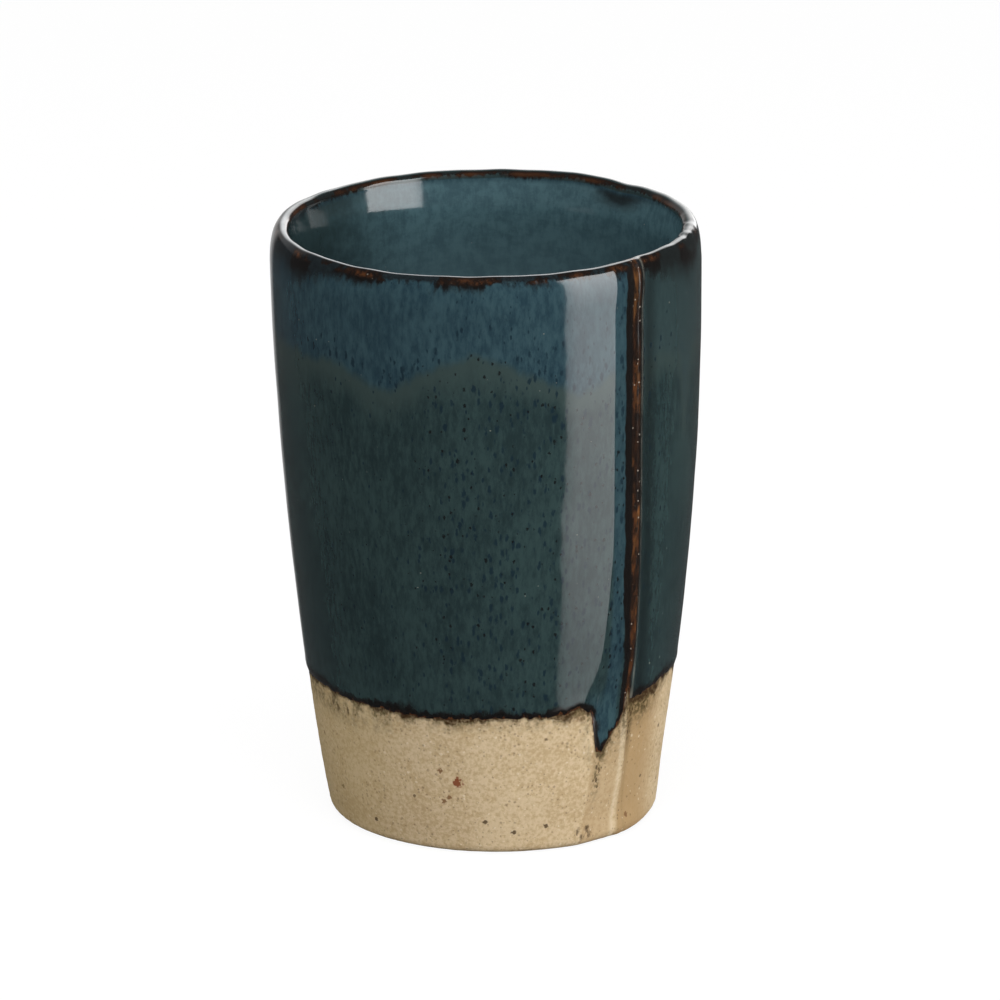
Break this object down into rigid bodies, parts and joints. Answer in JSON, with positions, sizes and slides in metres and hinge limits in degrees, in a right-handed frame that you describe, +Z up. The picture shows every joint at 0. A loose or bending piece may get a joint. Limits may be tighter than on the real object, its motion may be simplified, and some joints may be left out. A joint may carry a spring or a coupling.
{
  "type": "espresso cup",
  "caption": "Handle-less slab-built stoneware espresso beaker with a lapped side seam, dark teal glaze and a bare clay foot.",
  "frame": {"origin": "middle of the underside, on the surface that the cup stands on", "axes": "+Z up to the lip; -Y is the side from which the lapped seam shows 47 degrees to the right; +X to the right of that side"},
  "size_m": [0.0599, 0.0603, 0.0855],
  "materials": {
    "stoneware": "bare sandy clay",
    "slip": "dried slip",
    "liner_glaze": "gloss",
    "body_glaze": "gloss, speckled",
    "dip_glaze": "gloss, mottled",
    "lip_glaze": "gloss, broken to brown"
  },
  "bodies": {
    "root": {"wall_slab": "stoneware", "seam_slip": "slip", "floor_disc": "stoneware", "floor_slip": "slip", "corner_coil": "stoneware", "liner_glaze": "liner_glaze", "body_glaze": "body_glaze", "dip_glaze": "dip_glaze", "lip_glaze": "lip_glaze"}
  },
  "joints": []
}
